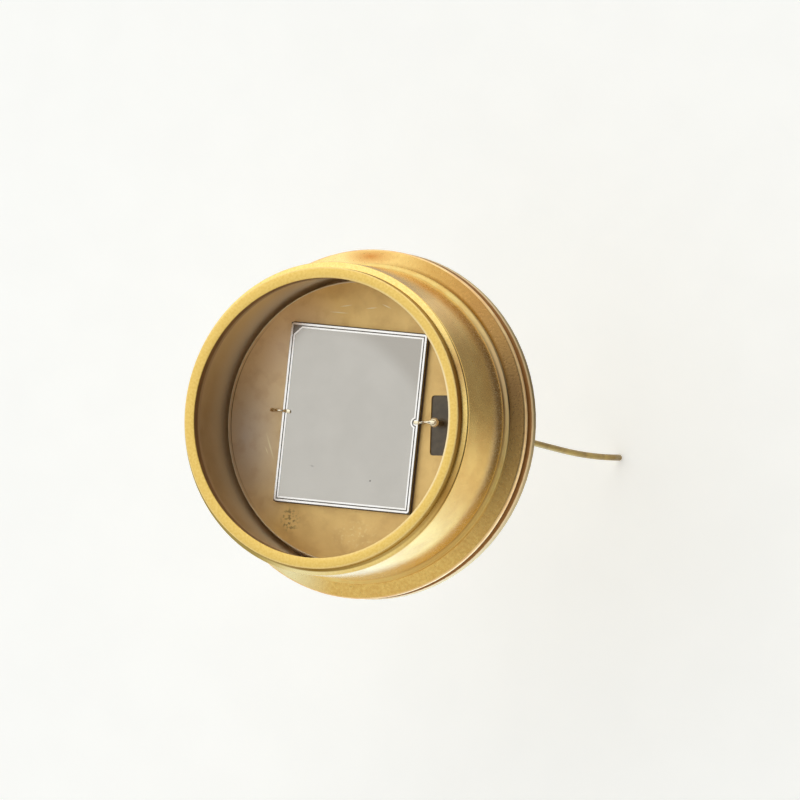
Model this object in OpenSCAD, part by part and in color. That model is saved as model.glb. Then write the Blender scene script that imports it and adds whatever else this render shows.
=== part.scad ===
// Windowless metal-can photodiode: a silicon die on a gold-plated header, ringed by a stepped can
// Millimetres; +Z is the optical axis, the origin is the centre of the header's underside

/* [Header] */
// How far the header's flange stands inside the can's flange edge
header_inset = 0.02; // [0:0.005:0.1]
// Thickness of the header's flange
header_flange_t = 0.62; // [0.5:0.01:0.9]
// Rounding of the flange's upper edge, which opens the weld groove
header_edge_r = 0.2; // [0.05:0.01:0.25]
// Rounding of the flange's lower edge
header_foot_r = 0.08; // [0.02:0.01:0.12]
// Radial gap between the raised platform and the can's wall
platform_gap = 0.28; // [0.15:0.01:0.6]
// Height of the platform above the flange
platform_h = 1.46; // [1.2:0.02:1.8]
// Rounding of the platform's edge
platform_edge_r = 0.08; // [0.02:0.01:0.15]

/* [Can] */
// Outer diameter of the can's wall
can_d = 12.5; // [12.2:0.05:12.9]
// Thickness of the can's wall
can_wall = 0.3; // [0.2:0.01:0.4]
// Height of the rim above the header's underside
case_h = 5.4; // [4.8:0.05:7]
// Height of the lip that stands proud of the shoulder
lip_h = 0.44; // [0.15:0.01:0.46]
// Width of the lip's front face
lip_w = 0.43; // [0.36:0.01:0.6]
// Depth of the lip's inner wall, measured from the rim
lip_depth = 0.56; // [0.5:0.01:0.7]
// Width of the shoulder step between the lip and the wall
shoulder_w = 0.25; // [0.15:0.01:0.32]
// How far the shoulder slopes down to its edge
shoulder_drop = 0.04; // [0:0.005:0.06]
// Rounding of the shoulder's outer edge
shoulder_r = 0.08; // [0.03:0.01:0.14]
// Thickness of the crown where it meets the wall
crown_t = 0.33; // [0.2:0.01:0.45]
// Diameter of the can's welding flange
flange_d = 13.97; // [13.8:0.01:14.5]
// Thickness of the welding flange beside the root ring
flange_t = 0.46; // [0.38:0.01:0.6]
// How far the flange's face slopes down to its edge
flange_droop = 0.13; // [0:0.01:0.15]
// Bevel of the flange's upper edge
flange_bevel = 0.055; // [0.02:0.005:0.08]
// Rounding of the flange's lower edge
flange_under_r = 0.15; // [0.05:0.01:0.16]
// Width of the root ring between the wall and the flange's face
root_w = 0.16; // [0.08:0.01:0.18]
// Height of the root ring above the flange's face
root_h = 0.2; // [0.08:0.01:0.25]

/* [Weld] */
// Height of the fused ring between the two flanges
weld_h = 0.18; // [0.1:0.01:0.25]
// Width of the fused ring
weld_w = 0.3; // [0.2:0.01:0.34]
// How far the fused ring lies inside the header's edge
weld_inset = 0.2; // [0.15:0.01:0.24]
// Rounding of the fused ring's outer edges
weld_edge_r = 0.06; // [0.02:0.01:0.08]

/* [Die] */
// Width of the silicon die, towards the signal lead
die_w = 6; // [5:0.05:6.3]
// Length of the silicon die
die_l = 7.17; // [6:0.01:7.6]
// Thickness of the silicon die
die_t = 0.2; // [0.15:0.01:0.4]
// Turn of the die about the optical axis, as it was set down
die_skew = -4.5; // [-6:0.1:6]
// Offset of the die's centre from the optical axis, towards the signal lead
die_x = -0.15; // [-0.3:0.01:0.05]
// Offset of the die's centre across that direction
die_y = 0.18; // [-0.25:0.01:0.25]
// Thickness of the layer that bonds the die down
attach_t = 0.03; // [0.02:0.005:0.06]
// How far that layer shows around the die
attach_margin = 0.035; // [0.01:0.005:0.08]

/* [Die metal] */
// Thickness of the metal tracks, drawn thicker than the real film
metal_t = 0.01; // [0.008:0.001:0.02]
// Bare silicon left outside the outer track
edge_margin = 0.012; // [0.008:0.002:0.04]
// Width of the outer contact track
outer_track_w = 0.08; // [0.06:0.005:0.1]
// Gap between the two contact tracks
track_gap = 0.045; // [0.03:0.005:0.06]
// Width of the inner contact track
inner_track_w = 0.065; // [0.05:0.005:0.08]
// Corner radius of the outer track
track_corner_r = 0.12; // [0.06:0.01:0.16]
// Cut across one corner of the inner track, which marks the die's first corner
corner_cut = 0.34; // [0.2:0.01:0.5]
// Radius of the round bond pad on the outer track
pad_r = 0.12; // [0.1:0.005:0.16]
// Distance of the bond pad's centre from the die's edge
pad_inset = 0.11; // [0.1:0.005:0.16]
// Place of the bond pad along the die's edge
pad_y = 0.05; // [-0.6:0.05:0.6]

/* [Leads] */
// Diameter of the round leads
lead_d = 0.25; // [0.24:0.01:0.36]
// Diameter of the circle on which the leads stand
lead_circle_d = 7.48; // [7.4:0.02:8]
// Length of the leads below the header
lead_len = 15.2; // [13:0.1:20]
// Bevel on the cut ends of the leads
lead_tip = 0.06; // [0.03:0.01:0.09]
// Height of the signal lead's post above the platform
post_h = 0.77; // [0.5:0.01:1]
// Diameter of the signal lead's nail head
head_d = 0.38; // [0.37:0.01:0.5]
// Thickness of the nail head
head_t = 0.12; // [0.08:0.01:0.2]
// Bevel around the nail head's top
head_bevel = 0.06; // [0.02:0.01:0.07]
// Straight length of the signal lead below the header
bend_start = 1.2; // [0.8:0.1:3]
// Angle of the signal lead's first, outward bend
bend_out = 2.8; // [1:0.1:3]
// Radius of the first bend
bend_out_r = 10; // [6:1:20]
// Angle through which the lead's end curves back
bend_back = 6; // [3:0.1:6.5]
// Radius of the curve at the lead's end
bend_back_r = 54; // [40:1:70]
// Depth of the case lead's socket in the header
socket_depth = 0.8; // [0.5:0.05:1.2]
// Diameter of the case lead's upset root, which fills the socket
case_root_d = 0.62; // [0.6:0.02:0.8]
// How far the upset root stands below the header's underside
case_root_drop = 0.08; // [0.06:0.01:0.15]
// Width of the braze ring around the case lead
braze_w = 0.12; // [0.06:0.01:0.2]
// Depth of the braze ring's countersink
braze_h = 0.12; // [0.06:0.01:0.2]

/* [Glass seal] */
// Length of the glass-filled slot, across the lead's direction
slot_l = 2.4; // [1.6:0.02:2.6]
// Width of the slot
slot_w = 0.92; // [0.7:0.02:1]
// Offset of the slot's middle from the lead, along the slot
slot_y = -0.08; // [-0.15:0.01:0.15]
// Corner radius of the slot
slot_r = 0.14; // [0.08:0.01:0.25]
// How far the glass lies below the header's faces
glass_recess = 0.06; // [0.02:0.01:0.12]
// Width of the glass collar that climbs the post
collar_w = 0.09; // [0.05:0.01:0.14]
// Height of that collar above the glass
collar_h = 0.05; // [0.03:0.01:0.1]

/* [Bond wires] */
// Diameter of the bond wires
wire_d = 0.1; // [0.08:0.005:0.11]
// Length of each flattened wedge foot
foot_l = 0.2; // [0.16:0.01:0.24]
// Width of a wedge foot
foot_w = 0.15; // [0.12:0.01:0.18]
// Thickness of a wedge foot
foot_t = 0.045; // [0.03:0.005:0.06]
// Height of the signal wire's loop above the nail head
signal_loop = 0.12; // [0.08:0.01:0.25]
// Height of the case wire's loop above the die
case_loop = 0.3; // [0.26:0.01:0.4]
// Distance from the die's edge to the case wire's foot on the platform
case_reach = 0.46; // [0.4:0.01:0.6]
// Place of the case wire along the die's edge
case_wire_y = 0.02; // [-0.6:0.02:0.6]

/* [Hidden] */
$fn = 96;

// Overshoot of a cut past the face that it opens
cut = 0.05;

// Heights above the header's underside
platform_z = header_flange_t + platform_h;
can_base_z = header_flange_t + weld_h;
face_z = can_base_z + flange_t;
flange_edge_z = face_z - flange_droop;
root_z = face_z + root_h;
shoulder_z = case_h - lip_h;
wall_top_z = shoulder_z - shoulder_drop;
lip_base_z = case_h - lip_depth;
crown_z = shoulder_z - crown_t;
die_z = platform_z + attach_t;
die_top_z = die_z + die_t;
metal_top_z = die_top_z + metal_t;
head_z = platform_z + post_h;

// Radii from the optical axis
can_r = can_d / 2;
bore_r = can_r - can_wall;
lip_r = can_r - shoulder_w;
opening_r = lip_r - lip_w;
root_r = can_r + root_w;
flange_r = flange_d / 2;
header_r = flange_r - header_inset;
platform_r = bore_r - platform_gap;
weld_r = header_r - weld_inset;
lead_r = lead_d / 2;
lead_x = lead_circle_d / 2;
case_root_r = case_root_d / 2;

// Insets of the track edges from the die's edge
outer_in = edge_margin + outer_track_w;
inner_out = outer_in + track_gap;
inner_in = inner_out + inner_track_w;
jog_r = pad_r + track_gap;
inner_corner_cut = corner_cut - (2 - sqrt(2)) * inner_track_w;

// Wire ends in the die's own frame, where X points at the signal lead's edge
pad_x = die_w / 2 - pad_inset;
case_foot_x = die_w / 2 - (inner_out + inner_in) / 2;

// Where each wire's loop is drawn up, as shares of its run from the first foot to the second
signal_pull = [0.25, 0.5];
case_pull = [0.2, 0.75];

// How fast a flattened foot swells to the round wire
foot_ramp = 2;

// Facets around and along the swept wires and the bowed lead
wire_sides = 8;
wire_steps = 18;
lead_sides = 24;
bend_steps = 8;

// Corner sliver that rounds a square edge; sx and sy point from the corner into the metal
module round_off(x, y, r, sx, sy) {
    difference() {
        translate([x + sx * (r - cut) / 2, y + sy * (r - cut) / 2])
            square(r + cut, center = true);
        translate([x + sx * r, y + sy * r])
            circle(r);
    }
}

// Rectangle with round corners, centred on the origin
module round_rect(w, l, r) {
    square([w - 2 * r, l], center = true);
    square([w, l - 2 * r], center = true);
    for (x = [-1, 1], y = [-1, 1])
        translate([x * (w / 2 - r), y * (l / 2 - r)])
            circle(r);
}

// Places its children in the die's own frame, at the given height
module on_die(z) {
    translate([die_x, die_y, z])
        rotate(die_skew)
            children();
}

// Outline of the slot in the header, around the signal lead
module slot_outline() {
    translate([lead_x, slot_y])
        round_rect(slot_w, slot_l, slot_r);
}

// Cone of the braze around the case lead, open at the header's underside
module braze_cone() {
    translate([-lead_x, 0])
        cylinder(h = braze_h, r1 = case_root_r + braze_w, r2 = case_root_r);
}

// Half section of the header
module header_profile() {
    difference() {
        union() {
            square([header_r, header_flange_t]);
            square([platform_r, platform_z]);
        }
        round_off(header_r, 0, header_foot_r, -1, 1);
        round_off(header_r, header_flange_t, header_edge_r, -1, -1);
        round_off(platform_r, platform_z, platform_edge_r, -1, -1);
    }
}

// Stamped header: flange, raised platform, glass slot and the case lead's socket
module header() {
    color("#c9a35c")
        difference() {
            rotate_extrude()
                header_profile();
            translate([0, 0, -cut])
                linear_extrude(platform_z + 2 * cut)
                    slot_outline();
            translate([-lead_x, 0, -cut])
                cylinder(h = socket_depth + cut, r = case_root_r);
            braze_cone();
        }
}

// Half section of the can: lip, shoulder, crown, wall, root ring and welding flange
module can_profile() {
    difference() {
        union() {
            translate([opening_r, lip_base_z])
                square([lip_w, lip_depth]);
            polygon([
                [opening_r, lip_base_z],
                [bore_r, crown_z],
                [can_r, crown_z],
                [can_r, wall_top_z],
                [can_r - shoulder_r, wall_top_z],
                [lip_r, shoulder_z],
                [opening_r, shoulder_z]
            ]);
            translate([bore_r, can_base_z])
                square([can_wall, wall_top_z - can_base_z]);
            polygon([
                [bore_r, can_base_z],
                [flange_r, can_base_z],
                [flange_r, flange_edge_z - flange_bevel],
                [flange_r - flange_bevel, flange_edge_z],
                [root_r, face_z],
                [root_r, root_z],
                [bore_r, root_z]
            ]);
            difference() {
                translate([can_r, root_z])
                    square(root_w);
                translate([root_r, root_z + root_w])
                    circle(root_w);
            }
        }
        round_off(can_r, wall_top_z, shoulder_r, -1, -1);
        round_off(flange_r, can_base_z, flange_under_r, -1, 1);
    }
}

// Drawn can, open at the front, with the flange that is welded to the header
module can() {
    color("#e0bd62")
        rotate_extrude()
            can_profile();
}

// Ring of fused metal between the two flanges
module weld_ring() {
    edge_r = min(weld_edge_r, weld_h / 2);
    color("#8a4f2c")
        rotate_extrude()
            difference() {
                translate([weld_r - weld_w, header_flange_t])
                    square([weld_w, weld_h]);
                round_off(weld_r, header_flange_t, edge_r, -1, 1);
                round_off(weld_r, can_base_z, edge_r, -1, -1);
            }
}

// Thin layer that bonds the die to the platform
module die_attach() {
    color("#6e675c")
        on_die(platform_z)
            linear_extrude(attach_t)
                round_rect(die_w + 2 * attach_margin, die_l + 2 * attach_margin, attach_margin);
}

// Silicon die, sawn square
module die() {
    color("#bab7af")
        on_die(die_z)
            translate([-die_w / 2, -die_l / 2, 0])
                cube([die_w, die_l, die_t]);
}

// Outer contact track with its round bond pad
module outer_track() {
    color("#f2eee6")
        on_die(die_top_z)
            linear_extrude(metal_t) {
                difference() {
                    round_rect(die_w - 2 * edge_margin, die_l - 2 * edge_margin, track_corner_r);
                    square([die_w - 2 * outer_in, die_l - 2 * outer_in], center = true);
                }
                intersection() {
                    translate([pad_x, pad_y])
                        circle(pad_r);
                    square([die_w - 2 * edge_margin, die_l], center = true);
                }
            }
}

// Outline of a rectangle inset from the die's edge, with the first corner cut off
module cut_corner_rect(inset, corner) {
    x = die_w / 2 - inset;
    y = die_l / 2 - inset;
    polygon([[-x, -y], [x, -y], [x, y], [corner - x, y], [-x, y - corner]]);
}

// Inner contact track, which jogs around the bond pad
module inner_track() {
    color("#f2eee6")
        on_die(die_top_z)
            linear_extrude(metal_t)
                difference() {
                    union() {
                        difference() {
                            cut_corner_rect(inner_out, corner_cut);
                            cut_corner_rect(inner_in, inner_corner_cut);
                        }
                        intersection() {
                            cut_corner_rect(inner_out, corner_cut);
                            translate([pad_x, pad_y])
                                circle(jog_r + inner_track_w);
                        }
                    }
                    translate([pad_x, pad_y])
                        circle(jog_r);
                }
}

// Solid skin over a list of rings, each with the same number of points
module swept(rings) {
    sides = len(rings[0]);
    last = len(rings) - 1;
    skin = [
        for (i = [0:last - 1], k = [0:sides - 1])
            let (a = i * sides + k, b = i * sides + (k + 1) % sides)
            each [[a, b, b + sides], [a, b + sides, a + sides]]
    ];
    start_cap = [for (k = [0:sides - 1]) sides - 1 - k];
    end_cap = [for (k = [0:sides - 1]) last * sides + k];
    polyhedron([for (ring = rings) each ring], concat([start_cap], skin, [end_cap]));
}

// Ring of the signal lead: its centre in the plane of the bow, its radius and the lead's lean there
function lead_ring(centre, r, lean) = [
    for (k = [0:lead_sides - 1])
        let (a = 360 * k / lead_sides)
        [r * cos(a), centre[0] - r * sin(a) * cos(lean), centre[1] + r * sin(a) * sin(lean)]
];

// Direction of the lead, downwards and leaning towards -Y
function lead_way(lean) = [-sin(lean), -cos(lean)];

// Signal lead: nail head, post, straight passage through the glass and a gently bowed tail
module signal_lead() {
    lean_end = bend_out - bend_back;
    out_end = [-bend_out_r * (1 - cos(bend_out)), -bend_start - bend_out_r * sin(bend_out)];
    back_drop = bend_back_r * (sin(bend_out) - sin(lean_end));
    straight = (lead_len + out_end[1] - back_drop - lead_tip) / cos(bend_out);
    back_start = out_end + straight * lead_way(bend_out);
    back_end = back_start - [bend_back_r * (cos(lean_end) - cos(bend_out)), back_drop];
    rings = concat(
        [
            lead_ring([0, head_z], head_d / 2 - head_bevel, 0),
            lead_ring([0, head_z - head_bevel], head_d / 2, 0),
            lead_ring([0, head_z - head_t], head_d / 2, 0),
            lead_ring([0, head_z - head_t], lead_r, 0)
        ],
        [
            for (i = [0:bend_steps])
                let (
                    lean = bend_out * i / bend_steps,
                    side = bend_out_r * (1 - cos(lean)),
                    drop = bend_start + bend_out_r * sin(lean)
                )
                lead_ring([-side, -drop], lead_r, lean)
        ],
        [
            for (i = [0:bend_steps])
                let (
                    lean = bend_out - bend_back * i / bend_steps,
                    side = bend_back_r * (cos(lean) - cos(bend_out)),
                    drop = bend_back_r * (sin(bend_out) - sin(lean))
                )
                lead_ring(back_start - [side, drop], lead_r, lean)
        ],
        [lead_ring(back_end + lead_tip * lead_way(lean_end), lead_r - lead_tip, lean_end)]
    );
    color("#cdb169")
        translate([lead_x, 0, 0])
            swept(rings);
}

// Dark glass that fills the slot and holds the signal lead clear of the header
module glass_seal() {
    glass_top = platform_z - glass_recess;
    color("#5b534a")
        difference() {
            union() {
                translate([0, 0, glass_recess])
                    linear_extrude(glass_top - glass_recess)
                        slot_outline();
                translate([lead_x, 0, glass_top])
                    cylinder(h = collar_h, r1 = lead_r + collar_w, r2 = lead_r);
            }
            translate([lead_x, 0, 0])
                cylinder(h = platform_z, r = lead_r);
        }
}

// Case lead, its upset root brazed into the header's underside
module case_lead() {
    color("#cdb169")
        translate([-lead_x, 0, 0]) {
            translate([0, 0, -case_root_drop])
                cylinder(h = case_root_drop + socket_depth, r = case_root_r);
            translate([0, 0, lead_tip - lead_len])
                cylinder(h = lead_len - lead_tip - case_root_drop, r = lead_r);
            translate([0, 0, -lead_len])
                cylinder(h = lead_tip, r1 = lead_r - lead_tip, r2 = lead_r);
        }
}

// Braze that fills the countersink around the case lead
module case_lead_braze() {
    color("#b89a58")
        difference() {
            braze_cone();
            translate([-lead_x, 0, -cut])
                cylinder(h = braze_h + 2 * cut, r = case_root_r);
        }
}

// Point on a cubic curve through p0 and p3, drawn towards p1 and p2
function curve_point(p0, p1, p2, p3, t) =
    pow(1 - t, 3) * p0 + 3 * t * pow(1 - t, 2) * p1 + 3 * t * t * (1 - t) * p2 + pow(t, 3) * p3;

// Centre line of a wire in its upright plane, from a foot at [0, z0] to a foot that starts at [run, z1]
function wire_line(run, z0, z1, p1, p2) =
    let (lift = [0, foot_t / 2])
    concat(
        [[-foot_l, z0] + lift],
        [for (i = [0:wire_steps]) curve_point([0, z0] + lift, p1, p2, [run, z1] + lift, i / wire_steps)],
        [[run + foot_l, z1] + lift]
    );

// Share of the round section at a point of the line: none on the feet, full on the loop
function roundness(i) = i < 1 || i > wire_steps + 1 ? 0 : sin(180 * (i - 1) / wire_steps);

// Turned direction of the line at a point: level on the feet
function wire_slope(line, i) =
    i < 2 || i > wire_steps
        ? 0
        : atan2(line[i + 1][1] - line[i - 1][1], line[i + 1][0] - line[i - 1][0]);

// Ring of points around the line; its flats lie above and below, so that a foot rests flat
function wire_ring(line, i) =
    let (
        share = min(1, foot_ramp * roundness(i)),
        half_w = (foot_w + (wire_d - foot_w) * share) / 2 / cos(180 / wire_sides),
        half_t = (foot_t + (wire_d - foot_t) * share) / 2 / cos(180 / wire_sides),
        lean = wire_slope(line, i)
    )
    [
        for (k = [0:wire_sides - 1])
            let (a = 360 * (k + 0.5) / wire_sides, up = half_t * sin(a))
            [line[i][0] - up * sin(lean), half_w * cos(a), line[i][1] + up * cos(lean)]
    ];

// Bond wire swept along its line, with a wedge foot at each end
module bond_wire(line) {
    swept([for (i = [0:len(line) - 1]) wire_ring(line, i)]);
}

// Wire from the outer track's pad to the nail head
module signal_wire() {
    pad = [
        die_x + pad_x * cos(die_skew) - pad_y * sin(die_skew),
        die_y + pad_x * sin(die_skew) + pad_y * cos(die_skew)
    ];
    reach = [lead_x, 0] - pad;
    run = norm(reach) - foot_l;
    top = head_z + signal_loop;
    rise = [signal_pull[0] * run, metal_top_z];
    fall = [signal_pull[1] * run, top + signal_loop];
    line = wire_line(run, metal_top_z, head_z, rise, fall);
    color("#d8c48a")
        translate([pad[0], pad[1], 0])
            rotate(atan2(reach[1], reach[0]))
                translate([foot_l / 2, 0, 0])
                    bond_wire(line);
}

// Wire from the inner track down to the platform
module case_wire() {
    run = die_w / 2 - case_foot_x + case_reach;
    top = metal_top_z + case_loop;
    line = wire_line(run, metal_top_z, platform_z, [case_pull[0] * run, top], [case_pull[1] * run, top]);
    color("#c8a866")
        on_die(0)
            translate([-case_foot_x, case_wire_y, 0])
                rotate(180)
                    bond_wire(line);
}

header();
can();
weld_ring();
die_attach();
die();
outer_track();
inner_track();
signal_lead();
glass_seal();
case_lead();
case_lead_braze();
signal_wire();
case_wire();
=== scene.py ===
# %% [markdown]
# # A metal-can photodiode, dressed for its portrait
# The part is a gold-plated can, open at the front, welded to a header that carries a silicon die. The
# frame brings every solid at its real size and place, so this lesson only adds what a camera would see:
# soft edges, smooth wires, platings, glass and light. Each step first says what the thing is and why it is
# made this way.

# %% Load the frame
import math

import bmesh
import bpy
from mathutils import Matrix, Vector


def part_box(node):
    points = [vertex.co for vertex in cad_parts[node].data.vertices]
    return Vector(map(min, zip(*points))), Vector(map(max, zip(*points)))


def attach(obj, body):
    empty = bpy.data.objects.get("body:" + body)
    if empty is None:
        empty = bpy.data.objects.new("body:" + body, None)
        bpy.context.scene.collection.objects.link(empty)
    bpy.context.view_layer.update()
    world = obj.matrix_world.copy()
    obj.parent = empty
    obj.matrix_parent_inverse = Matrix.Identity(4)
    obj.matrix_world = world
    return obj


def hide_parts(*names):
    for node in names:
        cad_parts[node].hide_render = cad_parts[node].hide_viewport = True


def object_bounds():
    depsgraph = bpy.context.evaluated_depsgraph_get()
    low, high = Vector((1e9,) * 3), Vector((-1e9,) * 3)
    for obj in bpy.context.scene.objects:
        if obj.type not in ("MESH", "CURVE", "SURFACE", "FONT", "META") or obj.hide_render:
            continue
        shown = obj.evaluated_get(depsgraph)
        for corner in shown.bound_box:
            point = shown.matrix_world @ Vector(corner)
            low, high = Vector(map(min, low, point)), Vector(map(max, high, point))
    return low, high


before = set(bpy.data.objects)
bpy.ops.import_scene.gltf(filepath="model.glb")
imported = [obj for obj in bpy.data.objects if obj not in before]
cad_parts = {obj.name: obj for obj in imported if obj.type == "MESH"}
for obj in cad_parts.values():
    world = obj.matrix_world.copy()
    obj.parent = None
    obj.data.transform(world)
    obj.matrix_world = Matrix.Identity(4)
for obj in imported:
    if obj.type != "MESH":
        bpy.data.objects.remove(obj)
cad_low, cad_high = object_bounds()
MM = 0.001
print("frame box in mm:", [round(value / MM, 3) for value in (*cad_low, *cad_high)])

# %% [markdown]
# ## Line of sight
# In the picture every straight edge of the die stays parallel, so the camera stands far off. Circles fitted
# to the rim and the flange give the tilt between the optical axis and the line of sight, the side on which
# the camera stands, and the small roll of the picture. Euler angles could hold the same facts, but three
# directions are easier to reuse: the lamp, the cards and the marks below are placed by them too.

# %% Camera directions
TILT = math.radians(25.14)
SIDE = math.radians(-6.8)
ROLL = math.radians(8.05)

axis = Vector((0, 0, 1))
near_side = Vector((math.cos(SIDE), math.sin(SIDE), 0))
cross_side = axis.cross(near_side)
to_camera = math.cos(TILT) * axis + math.sin(TILT) * near_side
level = math.cos(TILT) * near_side - math.sin(TILT) * axis
right = math.cos(ROLL) * level + math.sin(ROLL) * cross_side
up = math.cos(ROLL) * cross_side - math.sin(ROLL) * level
print("line of sight:", [round(value, 3) for value in to_camera])

# %% [markdown]
# ## Camera
# A very long lens keeps parallel edges parallel and still lets other views stand back as usual. The rim's
# centre has a known pixel, and the aim is worked out from it, so the lens needs no shift. The scale was
# fitted halfway between the rim and the flange, so the camera stands nearer to the rim by that half depth.

# %% Camera
IMAGE_SIDE = 800
PIXELS_PER_MM = 25.13
RIM_PIXEL = (320.85, 417.70)
HALF_DEPTH = 1.9 * MM
LENS = 1000
SENSOR = 36

pixel = MM / PIXELS_PER_MM
rim_centre = Vector((0, 0, cad_high.z))
to_right = IMAGE_SIDE / 2 - RIM_PIXEL[0]
to_top = RIM_PIXEL[1] - IMAGE_SIDE / 2
aim = rim_centre + pixel * (to_right * right + to_top * up)
distance = pixel * IMAGE_SIDE * LENS / SENSOR - HALF_DEPTH

camera = bpy.data.objects.new("camera", bpy.data.cameras.new("camera"))
camera.data.lens = LENS
camera.data.sensor_width = SENSOR
camera.data.clip_end = 4 * distance
camera.matrix_world = Matrix((right, up, to_camera)).transposed().to_4x4()
camera.location = aim + distance * to_camera
bpy.context.scene.collection.objects.link(camera)
bpy.context.scene.camera = camera
bpy.context.scene.view_settings.view_transform = "Standard"
print("camera stands", round(distance / MM), "mm away")

# %% [markdown]
# ## Colours and nodes
# Colours are written as the hex values that a screen shows, and one function turns them into the linear
# values that a shader works with. A second small function adds a node, sets it and links it, so that each
# material below reads as a list of what its surface does.

# %% Colour and node helpers
def linear(hex_colour):
    """A screen colour such as #d9b45c as the linear RGBA that a shader works with."""
    parts = [int(hex_colour[i:i + 2], 16) / 255 for i in (1, 3, 5)]
    return [c / 12.92 if c <= 0.04045 else ((c + 0.055) / 1.055) ** 2.4 for c in parts] + [1.0]


def add(tree, kind, inputs=None, stops=(), **settings):
    """Adds one shader node; an input is a value, or another node's output that is linked to it."""
    node = tree.nodes.new("ShaderNode" + kind)
    for name, value in settings.items():
        setattr(node, name, value)
    for key, value in (inputs or {}).items():
        by_name = (socket for socket in node.inputs if socket.enabled and socket.name == key)
        socket = next(by_name) if isinstance(key, str) else node.inputs[key]
        if isinstance(value, bpy.types.NodeSocket):
            tree.links.new(value, socket)
        else:
            socket.default_value = value
    for index, (position, colour) in enumerate(stops):
        element = node.color_ramp.elements[index]
        element.position = position
        element.color = linear(colour)
    return node


def blank(name):
    """A new material with an empty node tree, and the place on the surface that its patterns read."""
    material = bpy.data.materials.new(name)
    material.use_nodes = True
    tree = material.node_tree
    tree.nodes.clear()
    return material, tree, add(tree, "TexCoord").outputs["Object"]


print("gold in linear light:", [round(value, 3) for value in linear("#e9c765")])

# %% [markdown]
# ## Satin grain
# The can, the header and the leads are nickel-iron alloy under a few micrometres of plated gold. A pressed
# and barrel-finished blank leaves the gold satin: it reflects, but every reflection is spread by a fine
# grain, and heat and handling add faint browner clouds. A photograph could be wrapped round the part, but it
# would carry its own light with it, so each plating is worked out instead: two tones mixed by a noise as
# wide as the clouds, and one fine noise that gives both the bump and the change of gloss. The real grain is
# finer than a pixel, and it is drawn just coarse enough to show.

# %% Grain helpers
UM = MM / 1000
CLOUD_RANGE = (0.36, 0.64)
GRAIN_RANGE = (0.3, 0.7)


def per_mm(size):
    """Texture scale at which a pattern's features are about size millimetres across."""
    return 1 / (size * MM)


def two_tone(tree, place, bright, deep, cloud_mm):
    """Colour that drifts between two tones in clouds of the given width."""
    clouds = add(tree, "TexNoise", {"Vector": place, "Scale": per_mm(cloud_mm), "Detail": 4.0})
    stops = list(zip(CLOUD_RANGE, (deep, bright)))
    return add(tree, "ValToRGB", {"Fac": clouds.outputs["Fac"]}, stops).outputs["Color"]


def satin(tree, place, tone, grain_mm, grain_um, gloss, metal=1.0):
    """Metal in the given colour, with a grain that carries both bump and roughness."""
    noise = add(tree, "TexNoise", {"Vector": place, "Scale": per_mm(grain_mm), "Detail": 3.0})
    grain = noise.outputs["Fac"]
    rough = add(tree, "MapRange", {
        "Value": grain, "From Min": GRAIN_RANGE[0], "From Max": GRAIN_RANGE[1],
        "To Min": gloss[0], "To Max": gloss[1],
    })
    bump = add(tree, "Bump", {"Strength": 1.0, "Distance": grain_um * UM, "Height": grain})
    shader = add(tree, "BsdfPrincipled", {
        "Base Color": tone, "Metallic": metal,
        "Roughness": rough.outputs["Result"], "Normal": bump.outputs["Normal"],
    })
    add(tree, "OutputMaterial", {"Surface": shader.outputs["BSDF"]})


print("a grain of 0.06 mm has scale", round(per_mm(0.06)))

# %% [markdown]
# ## Places on the part
# Most of the part is turned, so a place on it is an angle, a distance from the axis and a height. The last
# two can also be read off the surface by a few nodes, so that a finish can change from ring to ring without
# any seam in the mesh.

# %% Place helpers
def around(angle_deg, radius_mm, height_mm):
    """A place on the part, at an angle counted clockwise in the picture from the camera's side."""
    angle = math.radians(angle_deg)
    way = math.cos(angle) * near_side - math.sin(angle) * cross_side
    return (radius_mm * way.x, radius_mm * way.y, height_mm)


def height_of(tree, place):
    """Height above the origin, in millimetres."""
    metres = add(tree, "SeparateXYZ", {"Vector": place}).outputs["Z"]
    return add(tree, "Math", {0: metres, 1: 1 / MM}, operation="MULTIPLY").outputs["Value"]


def radius_of(tree, place):
    """Distance from the optical axis, in millimetres."""
    flat = add(tree, "VectorMath", {0: place, 1: (1 / MM, 1 / MM, 0.0)}, operation="MULTIPLY")
    return add(tree, "VectorMath", {0: flat.outputs["Vector"]}, operation="LENGTH").outputs["Value"]


print("the lead side lies at", [round(value, 2) for value in around(0, 1, 0)])

# %% [markdown]
# ## Masks
# Single marks, such as a scratch, a stain or the burnt patch beside a weld, need a place and a size. A soft
# ellipse does for all of them: a Mapping node moves and stretches the surface so that the mark becomes a
# unit circle, and a spherical gradient fades it from the middle outwards. Other marks follow the turned
# form, and they are zones of height or of distance from the axis.

# %% Mask helpers
def overlap(tree, *masks):
    """Where all the masks overlap; a plain number weakens the result."""
    whole = masks[0]
    for mask in masks[1:]:
        whole = add(tree, "Math", {0: whole, 1: mask}, operation="MULTIPLY").outputs["Value"]
    return whole


def spot(tree, place, centre, half_size, turn_deg=0.0):
    """Mask of a soft ellipse, from 1 at its centre to 0 at its edge; sizes in millimetres."""
    local = add(tree, "Mapping", {
        "Vector": place, "Location": MM * Vector(centre), "Scale": MM * Vector(half_size),
        "Rotation": (0, 0, math.radians(turn_deg)),
    }, vector_type="TEXTURE")
    fade = add(tree, "TexGradient", {"Vector": local.outputs["Vector"]}, gradient_type="SPHERICAL")
    return fade.outputs["Fac"]


def stretch(tree, place, ring, angle_deg, reach_mm):
    """Mask of a stretch of a ring, fading out over its reach; a ring is a radius and a height."""
    return spot(tree, place, around(angle_deg, *ring), (reach_mm, reach_mm, reach_mm))


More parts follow.
